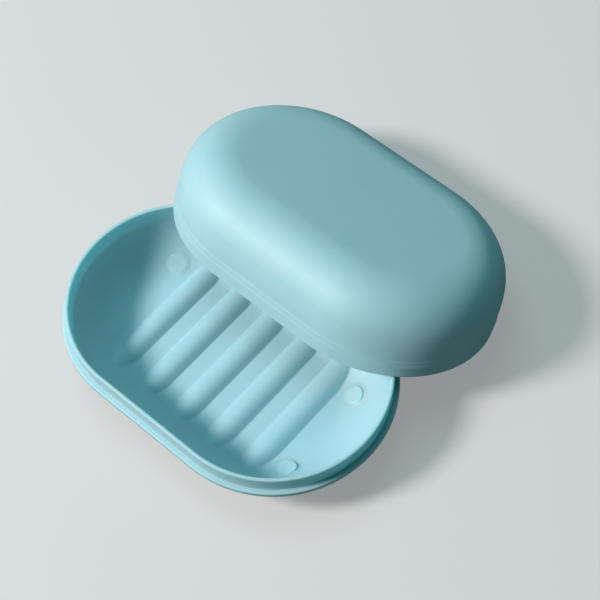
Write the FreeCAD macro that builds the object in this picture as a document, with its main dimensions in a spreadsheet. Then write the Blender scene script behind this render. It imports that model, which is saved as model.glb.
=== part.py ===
import FreeCAD, Part
import math
import os

import Sketcher
from FreeCAD import Placement, Rotation, Vector

# A two-piece travel soap box, in millimetres: a ribbed tray and a domed lid that leans on it.
# The tray stands on z = 0 with its centre on the z axis and its length along x.

SIZES = (
    ("box_length", "120", "length over the tray's flange and the lid's skirt"),
    ("box_width", "79.5", "width over the same faces, and twice the radius of the round ends"),
    ("wall", "1.5", "wall of dish, floor and lid"),
    ("ledge_height", "15.4", "height of the ledge that the closed lid sits on"),
    ("flange_depth", "2", "depth of the flange under that ledge"),
    ("lip_height", "6.1", "height of the upright lip above the ledge"),
    ("lip_thick", "1.2", "thickness of the lip at its top"),
    ("lip_taper", "0.65", "how much thicker the lip is at its root"),
    ("fit_clearance", "0.25", "play between the lip and the lid's skirt"),
    ("dish_radius", "17.8", "radius of the curve from the floor up to the lip"),
    ("rib_count", "5", "soap ribs across the floor"),
    ("rib_pitch", "14.7", "distance from rib to rib"),
    ("rib_width", "9.2", "width of a rib at the floor"),
    ("rib_height", "2.4", "height of a rib above the floor"),
    ("crest_radius", "5", "rounding of a rib's crest"),
    ("edge_radius", "0.4", "rounding of the lip, flange and rim edges"),
    ("lid_height", "27.7", "height of the lid over its rim"),
    ("lip_headroom", "0.6", "room over the lip's top inside the closed lid's skirt"),
    ("band_step", "0.35", "how far the skirt stands out from the dome"),
    ("plateau_inset", "18.3", "from the lid's outline in to its flat top"),
    ("crown_radius", "23", "soft curve next to the flat top"),
    ("bend_radius", "15.5", "rounding of the bend between top and side"),
    ("shoulder_radius", "37.5", "slow curve from the bend down to the skirt"),
    ("lid_setback", "49.2", "how far back the leaning lid's centre lies"),
    ("lid_shift", "3.26", "how far it lies to the right"),
    ("lid_turn", "-0.1", "degrees that it is turned, seen from above"),
    ("seat_gap", "0.1", "room between the lip's top and the rim that leans on it"),
)

HALF_WIDTH = "Sizes.box_width / 2"
HALF_STRAIGHT = "(Sizes.box_length - Sizes.box_width) / 2"
LIP_OUTSIDE = "Sizes.box_width / 2 - Sizes.wall - Sizes.fit_clearance"
LIP_INSIDE = LIP_OUTSIDE + " - Sizes.lip_thick"
LIP_ROOT = LIP_INSIDE + " - Sizes.lip_taper"
LIP_TOP = "Sizes.ledge_height + Sizes.lip_height"
DISH_RISE = "(Sizes.ledge_height - Sizes.wall)"
FLOOR_EDGE = LIP_ROOT + " - sqrt(" + DISH_RISE + " * (2 * Sizes.dish_radius - " + DISH_RISE + "))"
SKIRT_HEIGHT = "Sizes.lip_height + Sizes.lip_headroom"

doc = FreeCAD.newDocument("SoapBox")
sheet = doc.addObject("Spreadsheet::Sheet", "Sizes")
for row, (alias, number, meaning) in enumerate(SIZES, start=1):
    sheet.set("A%d" % row, meaning)
    sheet.set("B%d" % row, number)
    sheet.setAlias("B%d" % row, alias)
doc.recompute()


def size(alias):
    return float(sheet.get(alias))


# Places that follow from the sheet, for first guesses in sketches and for finding edges

half_width = size("box_width") / 2
straight_half = (size("box_length") - size("box_width")) / 2
lip_outside = half_width - size("wall") - size("fit_clearance")
lip_inside = lip_outside - size("lip_thick")
lip_root = lip_inside - size("lip_taper")
lip_top = size("ledge_height") + size("lip_height")
flange_bottom = size("ledge_height") - size("flange_depth")
dish_rise = size("ledge_height") - size("wall")
floor_edge = lip_root - math.sqrt(dish_rise * (2 * size("dish_radius") - dish_rise))
skirt_height = size("lip_height") + size("lip_headroom")
same_place = 0.01


# Sketch helpers

def plane(body, role):
    return next(item for item in body.Origin.OriginFeatures if item.Role == role)


def add_sketch(body, role, name):
    sketch = body.newObject("Sketcher::SketchObject", name)
    sketch.AttachmentSupport = (plane(body, role), [""])
    sketch.MapMode = "FlatFace"
    return sketch


# Draws a closed outline. Each step is a line's end point, or an arc's middle and end points.
# Neighbours share their ends, and the pairs named as smooth are tangent there as well.
def draw_outline(sketch, start, steps, smooth=()):
    here = Vector(*start)
    for step in steps:
        points = [Vector(*point) for point in step]
        shape = Part.Arc(here, *points) if len(points) == 2 else Part.LineSegment(here, points[0])
        sketch.addGeometry(shape, False)
        here = points[-1]
    for first in range(len(steps)):
        second = (first + 1) % len(steps)
        kind = "Tangent" if (first, second) in smooth else "Coincident"
        sketch.addConstraint(Sketcher.Constraint(kind, first, 2, second, 1))


def level(sketch, *lines):
    for line in lines:
        sketch.addConstraint(Sketcher.Constraint("Horizontal", line))


def upright(sketch, *lines):
    for line in lines:
        sketch.addConstraint(Sketcher.Constraint("Vertical", line))


def on_axis(sketch, *points):
    for line, end in points:
        sketch.addConstraint(Sketcher.Constraint("PointOnObject", line, end, -2))


def bind(sketch, constraint, formula):
    index = sketch.addConstraint(constraint)
    sketch.setExpression("Constraints[%d]" % index, formula)


def across(sketch, point, formula):
    guess = sketch.getPoint(*point).x
    bind(sketch, Sketcher.Constraint("DistanceX", -1, 1, *point, guess), formula)


def above(sketch, point, formula):
    guess = sketch.getPoint(*point).y
    bind(sketch, Sketcher.Constraint("DistanceY", -1, 1, *point, guess), formula)


def radius(sketch, arc, formula):
    guess = sketch.Geometry[arc].Radius
    bind(sketch, Sketcher.Constraint("Radius", arc, guess), formula)


# A solid with straight sides and round ends: half its section is carried along the straight run
# and turned half round at one end, and both are mirrored.
def add_stadium(body, draw_half_section):
    side = add_sketch(body, "YZ_Plane", body.Name + "_side_section")
    draw_half_section(side)
    run = body.newObject("PartDesign::Pad", body.Name + "_run")
    run.Profile = side
    run.SideType = "Symmetric"
    run.setExpression("Length", "Sizes.box_length - Sizes.box_width")
    end = add_sketch(body, "YZ_Plane", body.Name + "_end_section")
    end.setExpression("AttachmentOffset.Base.z", HALF_STRAIGHT)
    draw_half_section(end)
    turn = body.newObject("PartDesign::Revolution", body.Name + "_turn")
    turn.Profile = end
    turn.ReferenceAxis = (end, ["V_Axis"])
    turn.Angle = 180
    turn.Reversed = True
    far_side = body.newObject("PartDesign::Mirrored", body.Name + "_far_side")
    far_side.Originals = [run]
    far_side.MirrorPlane = (plane(body, "XZ_Plane"), [""])
    body.Tip = far_side
    far_end = body.newObject("PartDesign::Mirrored", body.Name + "_far_end")
    far_end.Originals = [turn]
    far_end.MirrorPlane = (plane(body, "YZ_Plane"), [""])
    body.Tip = far_end
    doc.recompute()


def add_body(name):
    body = doc.addObject("PartDesign::Body", name)
    body.Label = name
    return body


# How far a point lies from the straight line between the centres of the two round ends
def reach(x, y):
    return math.hypot(max(abs(x) - straight_half, 0), y)


# The edges that run round the box at one height and one reach, from both ends and the middle of each
def ring_edges(shape, places):
    names = []
    for number, edge in enumerate(shape.Edges, start=1):
        first, last = edge.ParameterRange
        points = [edge.valueAt(value) for value in (first, (first + last) / 2, last)]
        for place_reach, place_height in places:
            off = [max(abs(reach(p.x, p.y) - place_reach), abs(p.z - place_height)) for p in points]
            if max(off) < same_place:
                names.append("Edge%d" % number)
    return names


def round_edges(body, name, places, formula):
    base = body.Tip
    rounding = body.newObject("PartDesign::Fillet", name)
    rounding.Base = (base, ring_edges(base.Shape, places))
    rounding.setExpression("Radius", formula)
    body.Tip = rounding
    doc.recompute()


def cut_with(body, tool):
    cut = body.newObject("PartDesign::Boolean", body.Name + "_cut")
    cut.setObjects([tool])
    cut.Type = "Cut"
    body.Tip = cut
    doc.recompute()


# Tray

# A point on an arc that leaves the floor level and climbs round a centre above the floor's edge
def dish_point(arc_radius, floor, height):
    drop = floor + arc_radius - height
    return (floor_edge + math.sqrt(arc_radius ** 2 - drop ** 2), height)


# The outside of the tray as a full block: underside, dish, flange, ledge and lip
def draw_tray_block(sketch):
    arc_radius = size("dish_radius") + size("wall")
    steps = (
        [(floor_edge, 0)],
        [dish_point(arc_radius, 0, flange_bottom / 2), dish_point(arc_radius, 0, flange_bottom)],
        [(half_width, flange_bottom)],
        [(half_width, size("ledge_height"))],
        [(lip_outside, size("ledge_height"))],
        [(lip_outside, lip_top)],
        [(0, lip_top)],
        [(0, 0)],
    )
    draw_outline(sketch, (0, 0), steps, smooth=((0, 1),))
    sketch.addConstraint(Sketcher.Constraint("Coincident", 0, 1, -1, 1))
    on_axis(sketch, (6, 2))
    level(sketch, 0, 2, 4, 6)
    upright(sketch, 3, 5)
    across(sketch, (1, 3), FLOOR_EDGE)
    radius(sketch, 1, "Sizes.dish_radius + Sizes.wall")
    above(sketch, (1, 2), "Sizes.ledge_height - Sizes.flange_depth")
    across(sketch, (2, 2), HALF_WIDTH)
    above(sketch, (3, 2), "Sizes.ledge_height")
    across(sketch, (4, 2), LIP_OUTSIDE)
    above(sketch, (5, 2), LIP_TOP)


# The space inside the tray: a level floor, a curve up to the ledge's height and the tapered lip
def draw_dish(sketch):
    arc_radius = size("dish_radius")
    floor = size("wall")
    steps = (
        [(floor_edge, floor)],
        [dish_point(arc_radius, floor, size("ledge_height") / 2), (lip_root, size("ledge_height"))],
        [(lip_inside, lip_top)],
        [(0, lip_top)],
        [(0, floor)],
    )
    draw_outline(sketch, (0, floor), steps, smooth=((0, 1),))
    on_axis(sketch, (3, 2), (4, 2))
    level(sketch, 0, 3)
    above(sketch, (0, 1), "Sizes.wall")
    radius(sketch, 1, "Sizes.dish_radius")
    across(sketch, (1, 2), LIP_ROOT)
    above(sketch, (1, 2), "Sizes.ledge_height")
    across(sketch, (2, 2), LIP_INSIDE)
    above(sketch, (2, 2), LIP_TOP)


# Five grooves right across a body, each with two flanks and a round crest
def add_rib_grooves(body, base, base_formula):
    first = -size("rib_pitch") * (size("rib_count") - 1) / 2
    crest_centre = base + size("rib_height") - size("crest_radius")
    half_rib = size("rib_width") / 2
    lean = math.atan2(half_rib, base - crest_centre)
    touch = lean - math.acos(size("crest_radius") / math.hypot(half_rib, base - crest_centre))
    touch_x = size("crest_radius") * math.sin(touch)
    touch_z = crest_centre + size("crest_radius") * math.cos(touch)
    first_formula = "-Sizes.rib_pitch * (Sizes.rib_count - 1) / 2"
    sketch = add_sketch(body, "XZ_Plane", body.Name + "_rib_section")
    steps = (
        [(first + half_rib, base)],
        [(first + touch_x, touch_z)],
        [(first, base + size("rib_height")), (first - touch_x, touch_z)],
        [(first - half_rib, base)],
    )
    draw_outline(sketch, (first - half_rib, base), steps, smooth=((1, 2), (2, 3)))
    level(sketch, 0)
    if base_formula is None:
        sketch.addConstraint(Sketcher.Constraint("PointOnObject", 0, 1, -1))
        above(sketch, (2, 3), "Sizes.rib_height - Sizes.crest_radius")
    else:
        above(sketch, (0, 1), base_formula)
        above(sketch, (2, 3), base_formula + " + Sizes.rib_height - Sizes.crest_radius")
    across(sketch, (0, 1), first_formula + " - Sizes.rib_width / 2")
    across(sketch, (0, 2), first_formula + " + Sizes.rib_width / 2")
    across(sketch, (2, 3), first_formula)
    radius(sketch, 2, "Sizes.crest_radius")
    groove = body.newObject("PartDesign::Pocket", body.Name + "_rib_groove")
    groove.Profile = sketch
    groove.Type = "ThroughAll"
    groove.SideType = "Symmetric"
    row = body.newObject("PartDesign::LinearPattern", body.Name + "_rib_grooves")
    row.Originals = [groove]
    row.Direction = (sketch, ["H_Axis"])
    row.setExpression("Length", "Sizes.rib_pitch * (Sizes.rib_count - 1)")
    row.setExpression("Occurrences", "Sizes.rib_count")
    body.Tip = row
    doc.recompute()


dish = add_body("dish_core")
add_stadium(dish, draw_dish)
add_rib_grooves(dish, size("wall"), "Sizes.wall")
tray = add_body("base_tray")
add_stadium(tray, draw_tray_block)
add_rib_grooves(tray, 0, None)
cut_with(tray, dish)
lip_edges = ((lip_outside, lip_top), (lip_inside, lip_top))
flange_edges = ((half_width, size("ledge_height")), (half_width, flange_bottom))
round_edges(tray, "tray_rounding", lip_edges + flange_edges, "Sizes.edge_radius")


# Lid

# The middle and end points of an arc, by its two angles above the level line through its centre
def arc_step(centre, arc_radius, start, end):
    points = []
    for angle in ((start + end) / 2, end):
        points.append((centre.x + arc_radius * math.cos(angle), centre.y + arc_radius * math.sin(angle)))
    return points


# The angle above the level line at which one point is seen from another
def rise_angle(here, there):
    return math.atan2(there.y - here.y, there.x - here.x)


# The centre of the bend, an arc that lies inside the shoulder's and the crown's arcs and touches both
def bend_place(shoulder_centre, shoulder, crown_centre, crown, bend):
    apart = crown_centre - shoulder_centre
    along = ((shoulder - bend) ** 2 - (crown - bend) ** 2) / (2 * apart.Length) + apart.Length / 2
    aside = math.sqrt((shoulder - bend) ** 2 - along ** 2)
    across_line = Vector(-apart.y, apart.x)
    return shoulder_centre + apart * (along / apart.Length) + across_line * (aside / apart.Length)


# One surface of the lid, from its skirt over shoulder, bend and crown to the flat top. It is drawn by
# itself for the outside, and one wall further in for the hollow.
def draw_dome(sketch, inset, inset_formula):
    skirt = half_width - inset
    dome = skirt - size("band_step")
    top = size("lid_height") - inset
    plateau = half_width - size("plateau_inset")
    shoulder = size("shoulder_radius") - inset
    bend = size("bend_radius") - inset
    crown = size("crown_radius") - inset
    shoulder_centre = Vector(dome - shoulder, skirt_height)
    crown_centre = Vector(plateau, top - crown)
    bend_centre = bend_place(shoulder_centre, shoulder, crown_centre, crown, bend)
    bend_start = rise_angle(shoulder_centre, bend_centre)
    bend_end = rise_angle(crown_centre, bend_centre)
    steps = (
        [(skirt, 0)],
        [(skirt, skirt_height)],
        [(dome, skirt_height)],
        arc_step(shoulder_centre, shoulder, 0, bend_start),
        arc_step(bend_centre, bend, bend_start, bend_end),
        arc_step(crown_centre, crown, bend_end, math.pi / 2),
        [(0, top)],
        [(0, 0)],
    )
    draw_outline(sketch, (0, 0), steps, smooth=((3, 4), (4, 5), (5, 6)))
    sketch.addConstraint(Sketcher.Constraint("Coincident", 0, 1, -1, 1))
    on_axis(sketch, (6, 2))
    level(sketch, 0, 2, 6)
    upright(sketch, 1)
    across(sketch, (0, 2), HALF_WIDTH + inset_formula)
    above(sketch, (1, 2), SKIRT_HEIGHT)
    across(sketch, (2, 2), HALF_WIDTH + " - Sizes.band_step" + inset_formula)
    above(sketch, (3, 3), SKIRT_HEIGHT)
    radius(sketch, 3, "Sizes.shoulder_radius" + inset_formula)
    radius(sketch, 4, "Sizes.bend_radius" + inset_formula)
    radius(sketch, 5, "Sizes.crown_radius" + inset_formula)
    across(sketch, (5, 2), HALF_WIDTH + " - Sizes.plateau_inset")
    above(sketch, (5, 2), "Sizes.lid_height" + inset_formula)


def draw_lid_outside(sketch):
    draw_dome(sketch, 0, "")


def draw_lid_inside(sketch):
    draw_dome(sketch, size("wall"), " - Sizes.wall")


hollow = add_body("lid_core")
add_stadium(hollow, draw_lid_inside)
lid = add_body("lid")
add_stadium(lid, draw_lid_outside)
cut_with(lid, hollow)
rim_edges = ((half_width, 0), (half_width - size("wall"), 0))
round_edges(lid, "rim_rounding", rim_edges, "Sizes.edge_radius")
round_edges(lid, "band_rounding", ((half_width, skirt_height),), "Sizes.band_step / 2")


# The lid leans on the tray: its rim crosses the lip at two points, one on each side, and its far edge
# touches the table.

settling_steps = 40


# The crossing on one side that lies furthest back, where the sloping rim comes lowest over the lip
def rim_crossing(placement, sign):
    crossings = []
    for rim in (half_width, half_width - size("wall")):
        for lip in (lip_outside, lip_inside):
            low = 0.0
            high = math.pi / 2
            for halving in range(settling_steps):
                angle = (low + high) / 2
                along = straight_half + rim * math.cos(angle)
                point = placement.multVec(Vector(sign * along, -rim * math.sin(angle), 0))
                if reach(point.x, point.y) > lip:
                    low = angle
                else:
                    high = angle
            crossings.append(point)
    return max(crossings, key=lambda point: point.y)


# Turned as seen from above, then tipped about the line through the two crossings until the far edge's
# rounding touches the table. The crossings move as it tips, so the steps repeat until they settle.
def lean_lid():
    up = Vector(0, 0, 1)
    turned = Rotation(up, size("lid_turn"))
    centre = Vector(size("lid_shift"), size("lid_setback"), 0)
    seat = lip_top + size("seat_gap")
    placement = Placement(centre, turned)
    tip = 0.0
    for step in range(settling_steps):
        left = rim_crossing(placement, -1)
        right = rim_crossing(placement, 1)
        hinge = Vector(right.x - left.x, right.y - left.y, 0).normalize()
        back = up.cross(hinge)
        beyond = (centre - left).dot(back)
        own_back = turned.inverted().multVec(back)
        far = beyond / math.cos(tip) + straight_half * abs(own_back.x) + half_width
        rounding = size("edge_radius") * (math.sin(tip) + math.cos(tip) - 1)
        tip = math.asin((seat + rounding) / far)
        lift = Vector(0, 0, seat - beyond * math.tan(tip))
        placement = Placement(centre + lift, Rotation(hinge, -math.degrees(tip)) * turned)
    return placement


lid.Placement = lean_lid()
doc.recompute()

# Checks and export

for item in doc.Objects:
    if "Invalid" in item.State or "Error" in item.State:
        raise RuntimeError("%s failed: %s" % (item.Name, item.State))
    if item.isDerivedFrom("Sketcher::SketchObject") and item.solve() != 0:
        raise RuntimeError("%s does not solve" % item.Name)

os.makedirs("parts", exist_ok=True)
for piece in (tray, lid):
    shape = piece.Shape
    if shape.isNull() or not shape.isValid() or len(shape.Solids) != 1:
        raise RuntimeError("%s is not one sound solid" % piece.Label)
    print("%s: %.0f mm3, %s" % (piece.Label, shape.Volume, shape.BoundBox))
    shape.exportStep("parts/%s.step" % piece.Label)
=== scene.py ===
import math

import bpy
import numpy as np
from mathutils import Matrix, Vector


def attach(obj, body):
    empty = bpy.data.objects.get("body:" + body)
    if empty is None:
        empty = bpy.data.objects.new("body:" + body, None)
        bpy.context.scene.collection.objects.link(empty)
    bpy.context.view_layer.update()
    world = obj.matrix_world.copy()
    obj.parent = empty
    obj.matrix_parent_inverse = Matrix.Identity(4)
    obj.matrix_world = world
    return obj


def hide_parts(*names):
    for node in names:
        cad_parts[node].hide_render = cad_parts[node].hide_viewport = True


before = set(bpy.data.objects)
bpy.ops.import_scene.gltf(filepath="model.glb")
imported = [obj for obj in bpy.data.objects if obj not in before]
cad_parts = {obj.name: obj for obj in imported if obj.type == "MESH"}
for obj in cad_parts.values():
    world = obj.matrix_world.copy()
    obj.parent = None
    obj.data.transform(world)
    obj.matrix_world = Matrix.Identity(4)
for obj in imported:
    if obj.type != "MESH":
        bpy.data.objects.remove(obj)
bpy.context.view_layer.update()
print("frame loaded with", sorted(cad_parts))

# A travel soap box in moulded polypropylene: a ribbed tray, and a domed lid that leans on its lip.
# Shapes are worked out in millimetres and go into the meshes in metres.
millimetre = 0.001

# plan of both pieces: a straight run with a half circle at each end
plan = {"length": 120.0, "width": 79.5}
halfWidth = plan["width"] / 2
straightHalf = (plan["length"] - plan["width"]) / 2


# distance of a point from the line that joins the two end centres; equal distances make a stadium
def reachOf(x, y):
    return np.hypot(np.maximum(np.abs(x) - straightHalf, 0.0), y)


# the higher of two surfaces, with the crease between them filled where they are within blend of each other
def softHigher(first, second, blend):
    share = np.clip(0.5 + 0.5 * (first - second) / blend, 0.0, 1.0)
    return second + (first - second) * share + blend * share * (1.0 - share)


# points of a section at equal steps along an arc, from one angle to another
def arcRun(centre, radius, startAngle, endAngle, count):
    angle = np.linspace(startAngle, endAngle, count)
    return np.stack((centre[0] + radius * np.cos(angle), centre[1] + radius * np.sin(angle)), axis=1)


# a section line through corners (reach, height, radius): each corner is swapped for a tangent arc of its
# radius, and each straight stretch keeps points close to its arcs so that the shading turns on the arc alone
def roundedRun(corners, arcCount=7, stretch=(0.1, 0.36, 0.64, 0.9)):
    points = np.array([corner[:2] for corner in corners])
    runs = [points[:1]]
    for number in range(1, len(corners) - 1):
        corner = points[number]
        back = points[number - 1] - corner
        ahead = points[number + 1] - corner
        back /= np.linalg.norm(back)
        ahead /= np.linalg.norm(ahead)
        halfAngle = 0.5 * math.acos(float(back @ ahead))
        radius = corners[number][2]
        middle = (back + ahead) / np.linalg.norm(back + ahead)
        centre = corner + middle * radius / math.sin(halfAngle)
        first = corner + back * radius / math.tan(halfAngle) - centre
        last = corner + ahead * radius / math.tan(halfAngle) - centre
        turn = math.pi - 2.0 * halfAngle
        share = np.linspace(0.0, 1.0, arcCount)[:, None]
        arc = (np.sin((1.0 - share) * turn) * first + np.sin(share * turn) * last) / math.sin(turn)
        runs.append(centre + arc)
    runs.append(points[-1:])
    share = np.array(stretch)[:, None]
    joined = [runs[0]]
    for before, after in zip(runs, runs[1:]):
        joined.append(before[-1] + (after[0] - before[-1]) * share)
        joined.append(after)
    return np.concatenate(joined)


# plan of a stadium patch as a grid: straight lines across the middle, then in each round end a patch that
# turns from the last straight line into the end arc, x = c + r cos f + w r (cos(gb) - cos g) and
# y = b r sin f + w r (sin(gb) - b sin g), with c the end's centre, r the radius, w from line to arc,
# b across, f the angle along the patch's side and g the angle of its corners
def stadiumPatch(radius, lines, across, endCount, cornerAngle=math.radians(32)):
    lineX = lines[:, None] + 0.0 * across
    lineY = across * np.sqrt(radius ** 2 - np.maximum(np.abs(lines) - straightHalf, 0.0) ** 2)[:, None]
    last = lines[-1] - straightHalf
    sideStart = math.acos(last / radius)
    w = np.linspace(0.0, 1.0, endCount + 1)[1:, None]
    f = sideStart + (cornerAngle - sideStart) * w
    endX = straightHalf + radius * (np.cos(f) + w * (np.cos(cornerAngle * across) - math.cos(cornerAngle)))
    endY = radius * (across * np.sin(f) + w * (np.sin(cornerAngle * across) - across * math.sin(cornerAngle)))
    x = np.concatenate((-endX[::-1], lineX, endX))
    y = np.concatenate((endY[::-1], lineY, endY))
    return x, y


# a closed shell: a patch that faces up, a section carried round its edge, with each of its points at its own
# reach from the line that joins the end centres, and a patch that faces down
def shellMesh(name, x, y, upperZ, section, lowerZ, place=Matrix.Identity(4)):
    columns, rows = x.shape
    upper = np.arange(columns * rows).reshape(columns, rows)
    edge = np.concatenate((upper[:, 0], upper[-1, 1:], upper[-2::-1, -1], upper[0, -2:0:-1]))
    edgeX = x.ravel()[edge]
    edgeY = y.ravel()[edge]
    footX = np.clip(edgeX, -straightHalf, straightHalf)
    edgeReach = np.hypot(edgeX - footX, edgeY)
    between = section[1:-1]
    ringX = footX + (edgeX - footX) / edgeReach * between[:, :1]
    ringY = edgeY / edgeReach * between[:, :1]
    ringZ = np.broadcast_to(between[:, 1:], ringX.shape)
    ring = upper.size + np.arange(ringX.size).reshape(ringX.shape)
    lower = upper + upper.size + ringX.size
    ring = np.concatenate((edge[None], ring, lower.ravel()[edge][None]))
    points = np.concatenate([
        np.stack((x, y, upperZ), axis=-1).reshape(-1, 3),
        np.stack((ringX, ringY, ringZ), axis=-1).reshape(-1, 3),
        np.stack((x, y, lowerZ), axis=-1).reshape(-1, 3),
    ])
    nextRing = np.roll(ring, -1, axis=1)
    faces = np.concatenate([
        np.stack((upper[:-1, :-1], upper[1:, :-1], upper[1:, 1:], upper[:-1, 1:]), axis=-1).reshape(-1, 4),
        np.stack((ring[:-1], ring[1:], nextRing[1:], nextRing[:-1]), axis=-1).reshape(-1, 4),
        np.stack((lower[:-1, :-1], lower[:-1, 1:], lower[1:, 1:], lower[1:, :-1]), axis=-1).reshape(-1, 4),
    ])
    return addMesh(name, points, faces.tolist(), place)


def addObject(name, data):
    piece = bpy.data.objects.new(name, data)
    bpy.context.scene.collection.objects.link(piece)
    return piece


# a smooth mesh from points in millimetres, moved to their place so that the object stays at the origin
def addMesh(name, points, faces, place=Matrix.Identity(4)):
    turned = points @ np.array(place.to_3x3()).T + np.array(place.translation)
    mesh = bpy.data.meshes.new(name)
    mesh.from_pydata((turned * millimetre).tolist(), [], faces)
    mesh.polygons.foreach_set("use_smooth", np.ones(len(mesh.polygons), dtype=bool))
    mesh.update()
    print(name, "made with", len(points), "points and", len(faces), "faces")
    return addObject(name, mesh)


# Tray

tray = {
    "wall": 1.5,
    "ledgeHeight": 15.4,      # where the closed lid sits
    "flangeDepth": 2.0,
    "lipHeight": 6.1,
    "lipThick": 1.2,
    "lipTaper": 0.65,         # thicker at the root
    "lidPlay": 0.25,
    "dishRadius": 17.8,       # from the floor up to the ledge
    "ribCount": 5,
    "ribPitch": 14.7,
    "ribWidth": 9.2,
    "ribHeight": 2.4,
    "crestRadius": 5.0,
    "ribFillet": 0.2,         # height over which a rib's foot runs into the floor
    "edgeRadius": 0.42,
    "rootRadius": 0.3,        # between ledge and lip
    "patchReach": 30.0,       # the grid of floor and ribs ends here and the section starts
    "grid": {
        "crest": 8,           # points over half a rib, stretch by stretch
        "flank": 4,
        "foot": 7,
        "valley": 4,
        "middle": 12,         # points from the middle line to the break, and on from there to the side
        "side": 28,
        "break": 0.56,        # share of the half width, just before the dish starts to rise
        "end": 24,            # steps from the last line to the end arc
        "inside": 12,         # points of the section's two arcs
        "outside": 14,
    },
}
lipOutside = halfWidth - tray["wall"] - tray["lidPlay"]
lipInside = lipOutside - tray["lipThick"]
lipRoot = lipInside - tray["lipTaper"]
lipTop = tray["ledgeHeight"] + tray["lipHeight"]
flangeBottom = tray["ledgeHeight"] - tray["flangeDepth"]
dishRise = tray["ledgeHeight"] - tray["wall"]
floorEdge = lipRoot - math.sqrt(dishRise * (2.0 * tray["dishRadius"] - dishRise))
dishCentre = (floorEdge, tray["wall"] + tray["dishRadius"])


# level floor, then an arc about dishCentre
def dishHeight(reach, radius):
    return dishCentre[1] - np.sqrt(radius ** 2 - np.maximum(reach - floorEdge, 0.0) ** 2)


# section of a rib: its round crest ends and its flanks start at this angle, and so far from the crest line
ribHalf = tray["ribWidth"] / 2
crestCentre = tray["ribHeight"] - tray["crestRadius"]
flankAngle = (math.atan2(ribHalf, -crestCentre)
              - math.acos(tray["crestRadius"] / math.hypot(ribHalf, crestCentre)))
flankStart = tray["crestRadius"] * math.sin(flankAngle)


# ribs as a height above the floor by the distance from the nearest crest line: a round crest and two flanks
# that meet the floor at half the rib's width, and run on below it
def ribHeight(x):
    outer = (tray["ribCount"] - 1) / 2
    crest = np.clip(np.round(x / tray["ribPitch"]), -outer, outer) * tray["ribPitch"]
    off = np.abs(x - crest)
    crown = crestCentre + np.sqrt(np.maximum(tray["crestRadius"] ** 2 - off ** 2, 0.0))
    flankTop = crestCentre + tray["crestRadius"] * math.cos(flankAngle)
    flank = flankTop - (off - flankStart) * math.tan(flankAngle)
    return np.where(off < flankStart, crown, flank)


# grid lines: even steps over a rib's crest and flanks, close ones at its foot and wide ones in the valley
def ribLines():
    grid = tray["grid"]
    footRun = 2.0 * tray["ribFillet"] / math.tan(flankAngle)
    crest = np.linspace(0.0, flankStart, grid["crest"])
    flank = np.linspace(flankStart, ribHalf - footRun, grid["flank"])
    foot = np.linspace(ribHalf - footRun, ribHalf + footRun, grid["foot"])
    valley = np.linspace(ribHalf + footRun, tray["ribPitch"] / 2, grid["valley"])
    side = np.concatenate((crest, flank[1:], foot[1:], valley[1:]))
    outer = (tray["ribCount"] - 1) // 2
    crests = np.arange(-outer, outer + 1) * tray["ribPitch"]
    lines = crests[:, None] + np.concatenate((-side[:0:-1], side[:-1]))
    return np.append(lines.ravel(), crests[-1] + tray["ribPitch"] / 2)


# the tray: floor, dish and ribs as heights over a stadium patch, for both faces of the wall, and round it a
# section that goes up the dish, over the lip, ledge and flange and back down the outside
def makeTray():
    grid = tray["grid"]
    middle = np.linspace(0.0, grid["break"], grid["middle"])
    side = np.linspace(grid["break"], 1.0, grid["side"])
    half = np.concatenate((middle, side[1:]))
    across = np.concatenate((-half[:0:-1], half))
    x, y = stadiumPatch(tray["patchReach"], ribLines(), across, grid["end"])
    reach = reachOf(x, y)
    outerRadius = tray["dishRadius"] + tray["wall"]
    rib = ribHeight(x)
    upperZ = softHigher(dishHeight(reach, tray["dishRadius"]), tray["wall"] + rib, tray["ribFillet"])
    lowerZ = softHigher(dishHeight(reach, outerRadius), rib, tray["ribFillet"])
    start = -math.acos((tray["patchReach"] - floorEdge) / tray["dishRadius"])
    end = -math.asin((dishCentre[1] - tray["ledgeHeight"]) / tray["dishRadius"])
    inside = arcRun(dishCentre, tray["dishRadius"], start, end, grid["inside"])
    outStart = -math.asin((dishCentre[1] - flangeBottom) / outerRadius)
    outEnd = -math.acos((tray["patchReach"] - floorEdge) / outerRadius)
    outside = arcRun(dishCentre, outerRadius, outStart, outEnd, grid["outside"])
    edge = tray["edgeRadius"]
    lip = roundedRun((
        (*inside[-1], 0.0),
        (lipInside, lipTop, edge),
        (lipOutside, lipTop, edge),
        (lipOutside, tray["ledgeHeight"], tray["rootRadius"]),
        (halfWidth, tray["ledgeHeight"], edge),
        (halfWidth, flangeBottom, edge),
        (*outside[0], 0.0),
    ))
    section = np.concatenate((inside[:-1], lip, outside[1:]))
    return shellMesh("soap_tray", x, y, upperZ, section, lowerZ)


trayPiece = makeTray()
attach(trayPiece, "tray")
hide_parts("base_tray")


# Round marks that the mould leaves on the dish, one in each quarter

marks = {
    "reach": 25.7,            # of a mark's middle
    "angle": 41.0,            # from the tray's length, about the centre of a round end
    "padRadius": 4.75,
    "padHeight": 0.14,
    "padEdge": 1.8,           # over which the pad runs out
    "padUnder": 0.25,         # share of its height by which the pad's rim lies below the dish
    "discRadius": 3.2,
    "discHeight": 0.7,        # on its high side, and level with the pad on the other
    "discBearing": 50.0,      # of the high side, from the tray's length
    "discEdge": 0.5,
    "discShares": {1: 1.0, -1: 0.14},    # the disc is clear at the right end and faint at the left one
    "sunk": 0.5,              # into the wall
    "grid": {
        "pole": 0.02,         # mm, radius of the small face that closes the middle
        "flat": 2.0,          # mm, up to here the rings are wide apart
        "flatRings": 5,
        "edge": 2.1,          # mm, from here on they are close
        "edgeRings": 30,
        "turn": 72,
    },
}


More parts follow.
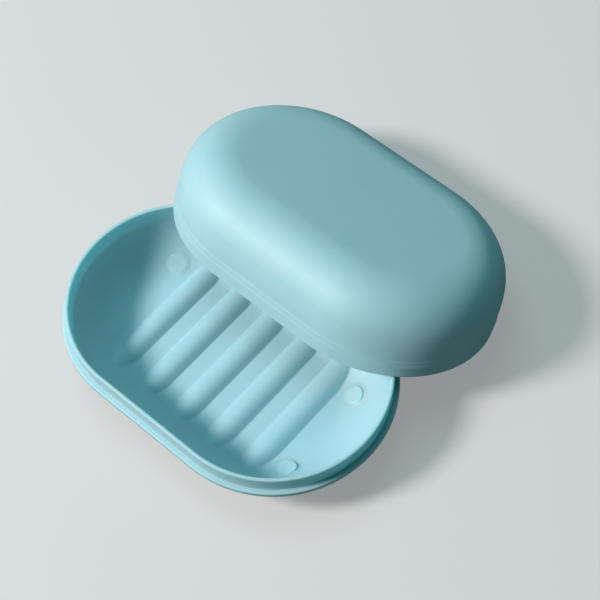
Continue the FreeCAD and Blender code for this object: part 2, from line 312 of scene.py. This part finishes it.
# one inside a round form and none outside it, 3s^2 - 2s^3 over the width of its edge
def roundForm(distance, radius, edge):
    share = np.clip((radius - distance) / edge, 0.0, 1.0)
    return share ** 2 * (3.0 - 2.0 * share)


# height of a mark over the dish by the distance and bearing from its middle: a low pad that runs out just
# below the dish, and a disc on it that rises evenly to its high side
def markHeight(distance, bearing, discShare):
    under = marks["padUnder"]
    pad = (1.0 + under) * roundForm(distance, marks["padRadius"], marks["padEdge"]) - under
    disc = roundForm(distance, marks["discRadius"], marks["discEdge"])
    towardsHigh = np.cos(bearing - math.radians(marks["discBearing"]))
    rise = 0.5 + 0.5 * distance / marks["discRadius"] * towardsHigh
    return marks["padHeight"] * pad + marks["discHeight"] * discShare * disc * rise


# a mark as a polar grid laid on the dish: distance times cos turn runs out along the dish's arc, distance
# times sin turn goes round the end's centre, and the height goes along the dish's normal; the same grid
# below it closes the body inside the wall
def markBody(endSign, angle):
    grid = marks["grid"]
    flatRings = np.linspace(grid["pole"], grid["flat"], grid["flatRings"])
    edgeRings = np.linspace(grid["edge"], marks["padRadius"], grid["edgeRings"])
    distance = np.concatenate((flatRings, edgeRings))[:, None]
    turn = np.linspace(0.0, 2.0 * math.pi, grid["turn"], endpoint=False)
    slope = math.asin((marks["reach"] - floorEdge) / tray["dishRadius"])
    tilt = slope + distance * np.cos(turn) / tray["dishRadius"]
    swing = angle + distance * np.sin(turn) / marks["reach"]
    layers = []
    top = markHeight(distance, turn + angle, marks["discShares"][endSign])
    for height in (top, -marks["sunk"]):
        radius = tray["dishRadius"] - height
        reach = floorEdge + radius * np.sin(tilt)
        layers.append(np.stack((
            endSign * straightHalf + reach * np.cos(swing),
            reach * np.sin(swing),
            dishCentre[1] - radius * np.cos(tilt),
        ), axis=-1).reshape(-1, 3))
    upper = np.arange(tilt.size).reshape(tilt.shape)
    rings = np.concatenate((upper, upper[::-1] + tilt.size))
    nextRings = np.roll(rings, -1, axis=1)
    faces = np.stack((rings[:-1], rings[1:], nextRings[1:], nextRings[:-1]), axis=-1).reshape(-1, 4)
    poles = [rings[0].tolist(), rings[-1, ::-1].tolist()]
    return np.concatenate(layers), faces.tolist() + poles


def makeMarks():
    points = []
    faces = []
    count = 0
    lean = math.radians(marks["angle"])
    for endSign, angle in ((1, lean), (1, -lean), (-1, math.pi - lean), (-1, math.pi + lean)):
        bodyPoints, bodyFaces = markBody(endSign, angle)
        points.append(bodyPoints)
        faces += [[count + corner for corner in face] for face in bodyFaces]
        count += len(bodyPoints)
    return addMesh("tray_mould_marks", np.concatenate(points), faces)


markPiece = makeMarks()
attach(markPiece, "tray")


# Lid

lid = {
    "wall": 1.5,
    "height": 27.7,           # over the rim
    "headroom": 0.6,          # over the lip inside the closed skirt
    "bandStep": 0.35,         # how far the skirt stands out from the dome
    "bandHeight": 4.9,        # where the lower of the skirt's two soft steps lies
    "stepRun": 1.15,          # height of such a step
    "stepRadius": 1.6,
    "plateauInset": 18.3,
    "crownRadius": 23.0,      # next to the flat top
    "bendRadius": 15.5,
    "shoulderRadius": 37.5,   # down to the skirt
    "edgeRadius": 0.42,
    "insideRadius": 0.17,     # where the skirt's inside meets the dome's
    "patchReach": 19.0,       # the grid of the flat top ends here and the section starts
    "grid": {
        "line": 81,           # lines across the flat top, and points on each
        "across": 61,
        "past": 8.0,          # mm that the lines go on past the straight run
        "end": 18,            # steps from the last line to the end arc
        "flat": 5,            # points of the section, stretch by stretch
        "crown": 9,
        "bend": 28,
        "shoulder": 10,
    },
}
skirtHeight = tray["lipHeight"] + lid["headroom"]


# section of one face of the lid from its flat top down to the dome's foot: crown, bend and shoulder arcs,
# tangent to each other, to the flat top and to the upright; the bend's centre lies where two circles cross,
# as far from the crown's and the shoulder's centres as their radii are larger than its own
def domeRun(inset, foot):
    grid = lid["grid"]
    dome = halfWidth - lid["bandStep"] - inset
    top = lid["height"] - inset
    plateau = halfWidth - lid["plateauInset"]
    crown = lid["crownRadius"] - inset
    bend = lid["bendRadius"] - inset
    shoulder = lid["shoulderRadius"] - inset
    crownCentre = np.array((plateau, top - crown))
    shoulderCentre = np.array((dome - shoulder, foot))
    apart = crownCentre - shoulderCentre
    span = np.linalg.norm(apart)
    along = ((shoulder - bend) ** 2 - (crown - bend) ** 2 + span ** 2) / (2.0 * span)
    aside = math.sqrt((shoulder - bend) ** 2 - along ** 2)
    bendCentre = shoulderCentre + (apart * along + np.array((-apart[1], apart[0])) * aside) / span
    upper = math.atan2(*(bendCentre - crownCentre)[::-1])
    lower = math.atan2(*(bendCentre - shoulderCentre)[::-1])
    flat = np.linspace((lid["patchReach"], top), (plateau, top), grid["flat"])
    return np.concatenate((
        flat[:-1],
        arcRun(crownCentre, crown, math.pi / 2, upper, grid["crown"])[:-1],
        arcRun(bendCentre, bend, upper, lower, grid["bend"])[:-1],
        arcRun(shoulderCentre, shoulder, lower, 0.0, grid["shoulder"]),
    ))


# the lid's own axes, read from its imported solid: up is square to its largest triangle, which lies in the
# flat top, and along follows the edges that are as long as the straight run
def leaningPlace():
    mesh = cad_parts["lid"].data
    points = np.zeros(len(mesh.vertices) * 3)
    mesh.vertices.foreach_get("co", points)
    points = points.reshape(-1, 3) / millimetre
    corners = np.zeros(len(mesh.polygons) * 3, dtype=int)
    mesh.polygons.foreach_get("vertices", corners)
    triangles = points[corners.reshape(-1, 3)]
    sides = np.roll(triangles, -1, axis=1) - triangles
    normals = np.cross(sides[:, 0], sides[:, 1])
    up = normals[np.argmax(np.linalg.norm(normals, axis=1))]
    up *= np.sign(up[2]) / np.linalg.norm(up)
    sides = sides.reshape(-1, 3)
    sameLength = 0.001        # mm
    straight = sides[np.abs(np.linalg.norm(sides, axis=1) - 2.0 * straightHalf) < sameLength]
    along = (straight * np.sign(straight[:, :1])).sum(axis=0)
    along /= np.linalg.norm(along)
    axes = np.stack((along, np.cross(up, along), up))
    spans = points @ axes.T
    middle = (spans.min(axis=0) + spans.max(axis=0)) / 2.0
    middle[2] = spans[:, 2].min()
    place = Matrix(axes.T.tolist()).to_4x4()
    place.translation = Vector(middle @ axes)
    return place


# the lid: its flat top as a stadium patch, for both faces of the wall, and round it a section that goes down
# the dome and the skirt's two steps, round the rim and back up the inside
def makeLid():
    grid = lid["grid"]
    lineEnd = straightHalf + grid["past"]
    lines = np.linspace(-lineEnd, lineEnd, grid["line"])
    across = np.linspace(-1.0, 1.0, grid["across"])
    x, y = stadiumPatch(lid["patchReach"], lines, across, grid["end"])
    step = lid["stepRun"]
    outside = domeRun(0.0, skirtHeight + step)
    inside = domeRun(lid["wall"], skirtHeight)
    edge = lid["edgeRadius"]
    soft = lid["stepRadius"]
    stripReach = halfWidth - lid["bandStep"] / 2
    skirtInside = halfWidth - lid["wall"]
    skirt = roundedRun((
        (*outside[-1], 0.0),
        (outside[-1][0], skirtHeight + step / 2, soft),
        (stripReach, skirtHeight - step / 2, soft),
        (stripReach, lid["bandHeight"] + step / 2, soft),
        (halfWidth, lid["bandHeight"] - step / 2, soft),
        (halfWidth, 0.0, edge),
        (skirtInside, 0.0, edge),
        (skirtInside, skirtHeight, lid["insideRadius"]),
        (*inside[-1], 0.0),
    ))
    section = np.concatenate((outside[:-1], skirt, inside[-2::-1]))
    upperZ = np.full(x.shape, lid["height"])
    lowerZ = upperZ - lid["wall"]
    return shellMesh("soap_lid", x, y, upperZ, section, lowerZ, leaningPlace())


lidPiece = makeLid()
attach(lidPiece, "lid")
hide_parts("lid")


# Finish

# an sRGB hex value as linear red, green, blue and alpha
def linearColour(hexColour):
    parts = [int(hexColour[place:place + 2], 16) / 255.0 for place in (1, 3, 5)]
    return tuple(c / 12.92 if c <= 0.04045 else ((c + 0.055) / 1.055) ** 2.4 for c in parts) + (1.0,)


# the empty node tree of a new material or world
def emptyTree(owner):
    owner.use_nodes = True
    owner.node_tree.nodes.clear()
    return owner.node_tree


# adds one node: settings by attribute, then values and links by input, a link from another node's output;
# inputs and outputs go by name, or by number where several share a name, as in both kinds of mix node
def addNode(tree, kind, settings=(), values=(), links=()):
    node = tree.nodes.new(kind)
    for name, value in dict(settings).items():
        setattr(node, name, value)
    for name, value in dict(values).items():
        node.inputs[name].default_value = value
    for name, (other, output) in dict(links).items():
        tree.links.new(other.outputs[output], node.inputs[name])
    return node


# polypropylene, injection moulded with a fine spark-eroded grain: a pale aqua body colour with a waxy
# satin sheen, light that bleeds a little way into the thin wall, and faint clouds where the melt flowed
plastic = {
    "colour": "#aad5dc",
    "cloudColour": "#a2d0d8",
    "cloudSize": 22.0,        # mm
    "cloudDetail": 3.0,
    "grainSize": 0.45,        # mm, the real grain is about 0.1 and is drawn coarser so that it shows
    "grainDetail": 2.0,
    "grainDepth": 0.006,      # mm
    "roughness": (0.56, 0.64),
    "ior": 1.49,
    "gloss": 1.0,             # reflects twice what the IOR alone gives, for the waxy sheen
    "bleedWeight": 0.65,      # share of the light that goes into the wall
    "bleedColour": (0.4, 1.0, 1.0),      # how far red, green and blue travel there, as shares
    "bleed": 1.0,             # mm that light travels in the wall
    "lipBleed": 4.5,          # mm in the thin lip, which glows where the key falls on its outside
    "lipBleedFrom": -0.3,     # mm over the ledge, from where to where the one turns into the other
    "lipBleedTo": 0.9,
}


def mouldedPolypropylene(name):
    material = bpy.data.materials.new(name)
    tree = emptyTree(material)
    place = addNode(tree, "ShaderNodeTexCoord")
    clouds = addNode(
        tree, "ShaderNodeTexNoise",
        values={"Scale": 1.0 / (plastic["cloudSize"] * millimetre), "Detail": plastic["cloudDetail"]},
        links={"Vector": (place, "Object")})
    colour = addNode(
        tree, "ShaderNodeMix", {"data_type": "RGBA"},
        values={6: linearColour(plastic["colour"]), 7: linearColour(plastic["cloudColour"])},
        links={"Factor": (clouds, "Fac")})
    grain = addNode(
        tree, "ShaderNodeTexNoise",
        values={"Scale": 1.0 / (plastic["grainSize"] * millimetre), "Detail": plastic["grainDetail"]},
        links={"Vector": (place, "Object")})
    rough = addNode(
        tree, "ShaderNodeMapRange",
        values={"To Min": plastic["roughness"][0], "To Max": plastic["roughness"][1]},
        links={"Value": (grain, "Fac")})
    bump = addNode(
        tree, "ShaderNodeBump",
        values={"Strength": 1.0, "Distance": plastic["grainDepth"] * millimetre},
        links={"Height": (grain, "Fac")})
    shader = addNode(
        tree, "ShaderNodeBsdfPrincipled",
        values={
            "IOR": plastic["ior"],
            "Specular IOR Level": plastic["gloss"],
            "Subsurface Weight": plastic["bleedWeight"],
            "Subsurface Radius": plastic["bleedColour"],
            "Subsurface Scale": plastic["bleed"] * millimetre,
        },
        links={
            "Base Color": (colour, 2),
            "Roughness": (rough, "Result"),
            "Normal": (bump, "Normal"),
        })
    addNode(tree, "ShaderNodeOutputMaterial", links={"Surface": (shader, "BSDF")})
    return material


# in the tray, light travels further from the ledge upwards
def letLipGlow(material):
    tree = material.node_tree
    shader = tree.nodes["Principled BSDF"]
    place = addNode(tree, "ShaderNodeTexCoord")
    height = addNode(tree, "ShaderNodeSeparateXYZ", links={"Vector": (place, "Object")})
    bleed = addNode(
        tree, "ShaderNodeMapRange",
        values={
            "From Min": (tray["ledgeHeight"] + plastic["lipBleedFrom"]) * millimetre,
            "From Max": (tray["ledgeHeight"] + plastic["lipBleedTo"]) * millimetre,
            "To Min": plastic["bleed"] * millimetre,
            "To Max": plastic["lipBleed"] * millimetre,
        },
        links={"Value": (height, "Z")})
    tree.links.new(bleed.outputs["Result"], shader.inputs["Subsurface Scale"])


trayFinish = mouldedPolypropylene("tray_polypropylene")
letLipGlow(trayFinish)
lidFinish = mouldedPolypropylene("lid_polypropylene")
trayPiece.data.materials.append(trayFinish)
markPiece.data.materials.append(trayFinish)
lidPiece.data.materials.append(lidFinish)
print("finish set")


# Stage, light and camera

stage = {
    "floorColour": "#d8dcdb",
    "glowColour": "#e2e2e1",  # evens out the floor for the camera
    "glowShare": 0.36,
    "bounceColour": "#888c8e",           # what the floor sends back to the box
    "floorHalf": 3.0,         # m
    "floorDrop": 0.0002,      # m below the standing plane
    "ambientColour": "#76e8e4",
    "ambient": 0.105,
    "mirrored": 0.5,          # how bright the surroundings are in reflections
    "backdropColour": "#a9aead",         # past the floor's edge
}


# a plain floor that the camera sees pale and evenly lit, and that sends a darker bounce to the box
def makeFloor():
    half = stage["floorHalf"] / millimetre
    low = -stage["floorDrop"] / millimetre
    points = np.array([(-half, -half, low), (half, -half, low), (half, half, low), (-half, half, low)])
    floor = addMesh("floor", points, [[0, 1, 2, 3]])
    material = bpy.data.materials.new("pale_floor")
    tree = emptyTree(material)
    path = addNode(tree, "ShaderNodeLightPath")
    bounce = addNode(tree, "ShaderNodeBsdfDiffuse", values={"Color": linearColour(stage["bounceColour"])})
    seen = addNode(tree, "ShaderNodeBsdfDiffuse", values={"Color": linearColour(stage["floorColour"])})
    glow = addNode(tree, "ShaderNodeEmission", values={"Color": linearColour(stage["glowColour"])})
    lit = addNode(
        tree, "ShaderNodeMixShader",
        values={"Fac": stage["glowShare"]},
        links={1: (seen, "BSDF"), 2: (glow, "Emission")})
    both = addNode(
        tree, "ShaderNodeMixShader",
        links={"Fac": (path, "Is Camera Ray"), 1: (bounce, "BSDF"), 2: (lit, "Shader")})
    addNode(tree, "ShaderNodeOutputMaterial", links={"Surface": (both, "Shader")})
    floor.data.materials.append(material)


# two round soft boxes: the key from the front left, and a wide weak one from high up on the left;
# elevation in degrees, distance and size in metres and power in watts
lamps = {
    "key": {
        "heading": (-0.63, -0.775),
        "elevation": 41.0,
        "distance": 1.5,
        "size": 0.35,
        "power": 24.9,
        "colour": "#fff3f3",
    },
    "fill": {
        "heading": (-0.95, 0.3),
        "elevation": 68.0,
        "distance": 1.5,
        "size": 1.0,
        "power": 5.3,
        "colour": "#c6f2fd",
    },
}


def makeLamp(name):
    lamp = lamps[name]
    heading = Vector((*lamp["heading"], 0.0)).normalized()
    rise = math.radians(lamp["elevation"])
    towards = heading * math.cos(rise) + Vector((0.0, 0.0, math.sin(rise)))
    light = bpy.data.lights.new(name, "AREA")
    light.shape = "DISK"
    light.size = lamp["size"]
    light.energy = lamp["power"]
    light.color = linearColour(lamp["colour"])[:3]
    piece = addObject(name, light)
    piece.location = towards * lamp["distance"]
    piece.rotation_euler = towards.to_track_quat("Z", "Y").to_euler()


# surroundings that light the box softly and are brighter in its sheen, and a plain backdrop for the camera
def makeWorld():
    world = bpy.data.worlds.new("studio")
    tree = emptyTree(world)
    path = addNode(tree, "ShaderNodeLightPath")
    mirrored = addNode(
        tree, "ShaderNodeMapRange",
        values={"To Min": stage["ambient"], "To Max": stage["mirrored"]},
        links={"Value": (path, "Is Glossy Ray")})
    around = addNode(
        tree, "ShaderNodeBackground",
        values={"Color": linearColour(stage["ambientColour"])},
        links={"Strength": (mirrored, "Result")})
    backdrop = addNode(tree, "ShaderNodeBackground", values={"Color": linearColour(stage["backdropColour"])})
    both = addNode(
        tree, "ShaderNodeMixShader",
        links={"Fac": (path, "Is Camera Ray"), 1: (around, "Background"), 2: (backdrop, "Background")})
    addNode(tree, "ShaderNodeOutputWorld", links={"Surface": (both, "Shader")})
    bpy.context.scene.world = world


# where the photograph was taken from: lengths in millimetres, angles in degrees
view = {
    "target": (6.47, 28.04, 13.4),
    "azimuth": 43.34,
    "elevation": 59.41,
    "roll": -3.12,
    "distance": 460.04,
    "lens": 83.26,
    "sensor": 36.0,
    "nearest": 10.0,          # what is closer than this isn't drawn
}


def makeCamera():
    azimuth = math.radians(view["azimuth"])
    elevation = math.radians(view["elevation"])
    roll = math.radians(view["roll"])
    back = Vector((
        math.sin(azimuth) * math.cos(elevation),
        -math.cos(azimuth) * math.cos(elevation),
        math.sin(elevation),
    ))
    right = Vector((math.cos(azimuth), math.sin(azimuth), 0.0))
    up = back.cross(right)
    axes = Matrix((
        right * math.cos(roll) + up * math.sin(roll),
        up * math.cos(roll) - right * math.sin(roll),
        back,
    )).transposed()
    place = axes.to_4x4()
    place.translation = (Vector(view["target"]) + back * view["distance"]) * millimetre
    lens = bpy.data.cameras.new("camera")
    lens.lens = view["lens"]
    lens.sensor_width = view["sensor"]
    lens.clip_start = view["nearest"] * millimetre
    camera = addObject("camera", lens)
    camera.matrix_world = place
    bpy.context.scene.camera = camera


makeFloor()
for lampName in lamps:
    makeLamp(lampName)
makeWorld()
makeCamera()
bpy.context.scene.view_settings.view_transform = "Standard"
print("stage, light and camera set")
